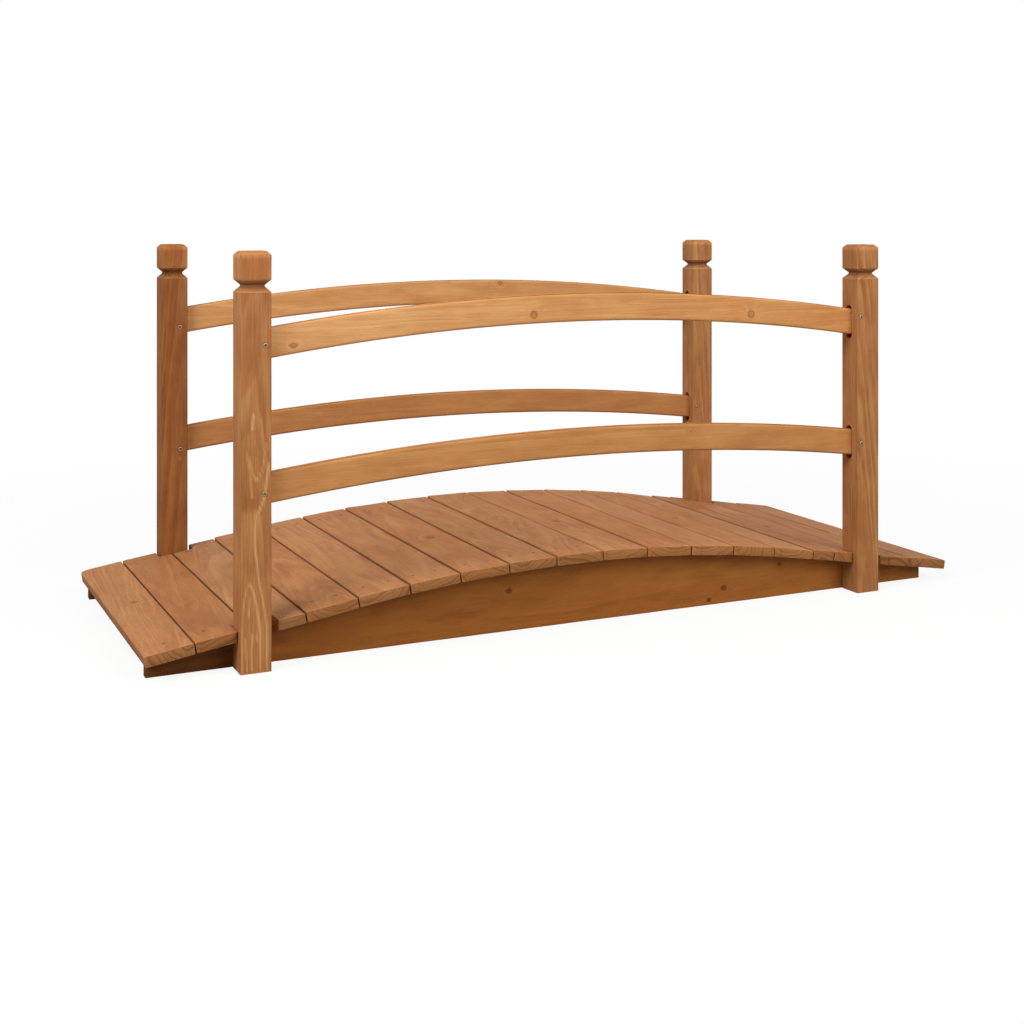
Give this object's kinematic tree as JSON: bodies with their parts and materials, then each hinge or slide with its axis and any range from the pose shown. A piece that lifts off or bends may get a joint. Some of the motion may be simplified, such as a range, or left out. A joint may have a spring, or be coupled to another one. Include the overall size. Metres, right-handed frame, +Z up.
{
  "type": "garden moon bridge",
  "caption": "Small arched wooden garden bridge: cross boards on curved stringers between square posts, with a curved handrail and mid rail on each side.",
  "frame": {"origin": "on the ground under the middle of the bridge's overall length and width", "axes": "+X along the walkway towards the right end of the picture, +Y across it from the front railing to the back one, +Z up"},
  "size_m": [1.4, 0.6, 0.6],
  "materials": {
    "post": "brown stained softwood, planed, with a visible vertical grain",
    "rail": "brown stained softwood, planed, with eased edges",
    "stringer": "brown stained softwood, sawn to a curve on top",
    "deck": "red-brown stained softwood boards with eased edges and rough sawn ends"
  },
  "bodies": {
    "root": {"post_front_left": "post", "post_front_right": "post", "handrail_front": "rail", "midrail_front": "rail", "stringer_front": "stringer", "post_back_left": "post", "post_back_right": "post", "handrail_back": "rail", "midrail_back": "rail", "stringer_back": "stringer", "deck_board_01": "deck", "deck_board_02": "deck", "deck_board_03": "deck", "deck_board_04": "deck", "deck_board_05": "deck", "deck_board_06": "deck", "deck_board_07": "deck", "deck_board_08": "deck", "deck_board_09": "deck", "deck_board_10": "deck", "deck_board_11": "deck", "deck_board_12": "deck", "deck_board_13": "deck", "deck_board_14": "deck", "deck_board_15": "deck", "deck_board_16": "deck", "deck_board_17": "deck", "deck_board_18": "deck"}
  },
  "joints": []
}
